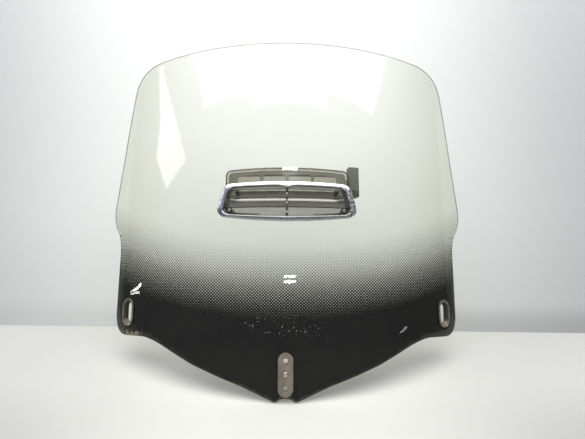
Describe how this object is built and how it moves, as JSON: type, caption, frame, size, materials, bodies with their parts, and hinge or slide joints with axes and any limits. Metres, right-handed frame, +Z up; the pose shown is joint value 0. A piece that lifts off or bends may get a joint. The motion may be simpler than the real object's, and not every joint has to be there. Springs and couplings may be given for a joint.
{
  "type": "motorcycle windshield screen",
  "caption": "Bent clear windshield sheet with a dotted black fade, a chrome-framed air vent with a sliding shutter and side knob, oval side slots and a centre bracket plate.",
  "frame": {"origin": "on the rear face of the centre backing plate, in the middle of its width, 54.7 mm up the sheet from the bottom tips: where the fork or fairing bracket bears", "axes": "+X to the right seen from the front, +Y back towards the rider, +Z up; the screen leans back by about 21 degrees at the origin, as it stands on the motorcycle"},
  "size_m": [0.6994, 0.3426, 0.5875],
  "materials": {
    "printed_clear_sheet": "polished polycarbonate, the lower third printed with a black halftone fade",
    "smoked_plastic": "moulded see-through smoked plastic",
    "smoked_seal": "soft self-adhesive seal",
    "bezel_chrome": "chrome plate, slightly pitted",
    "painted_steel": "weathered satin grey-brown paint",
    "zinc_steel": "zinc plate",
    "spring_steel": "blued spring strip",
    "olive_rubber": "satin olive-brown rubber",
    "black_rubber": "matte black rubber",
    "knob_plastic": "matte moulded plastic"
  },
  "bodies": {
    "screen_assembly": {"screen": "printed_clear_sheet", "centre_plate": "painted_steel", "centre_backing_plate": "painted_steel", "centre_eyelet": "zinc_steel", "vent_bezel": "bezel_chrome", "bezel_gasket": "black_rubber", "louvre_grille": "smoked_plastic", "cover_gasket": "smoked_seal", "vent_cover": "smoked_plastic", "slot_grommet_left": "olive_rubber", "slot_grommet_right": "olive_rubber", "vent_screw_left": "zinc_steel", "vent_screw_right": "zinc_steel", "vent_nut_left": "zinc_steel", "vent_nut_right": "zinc_steel", "friction_spring_left": "spring_steel", "friction_spring_right": "spring_steel"},
    "shutter": {"shutter": "smoked_plastic", "shutter_knob": "knob_plastic", "knob_screw_lower": "zinc_steel", "knob_screw_upper": "zinc_steel"}
  },
  "joints": [
    {"name": "shutter_slide", "type": "slide", "parent": "screen_assembly", "child": "shutter", "axis": [0, 0.4071, 0.9134], "range_m": [-0.028, 0]}
  ]
}
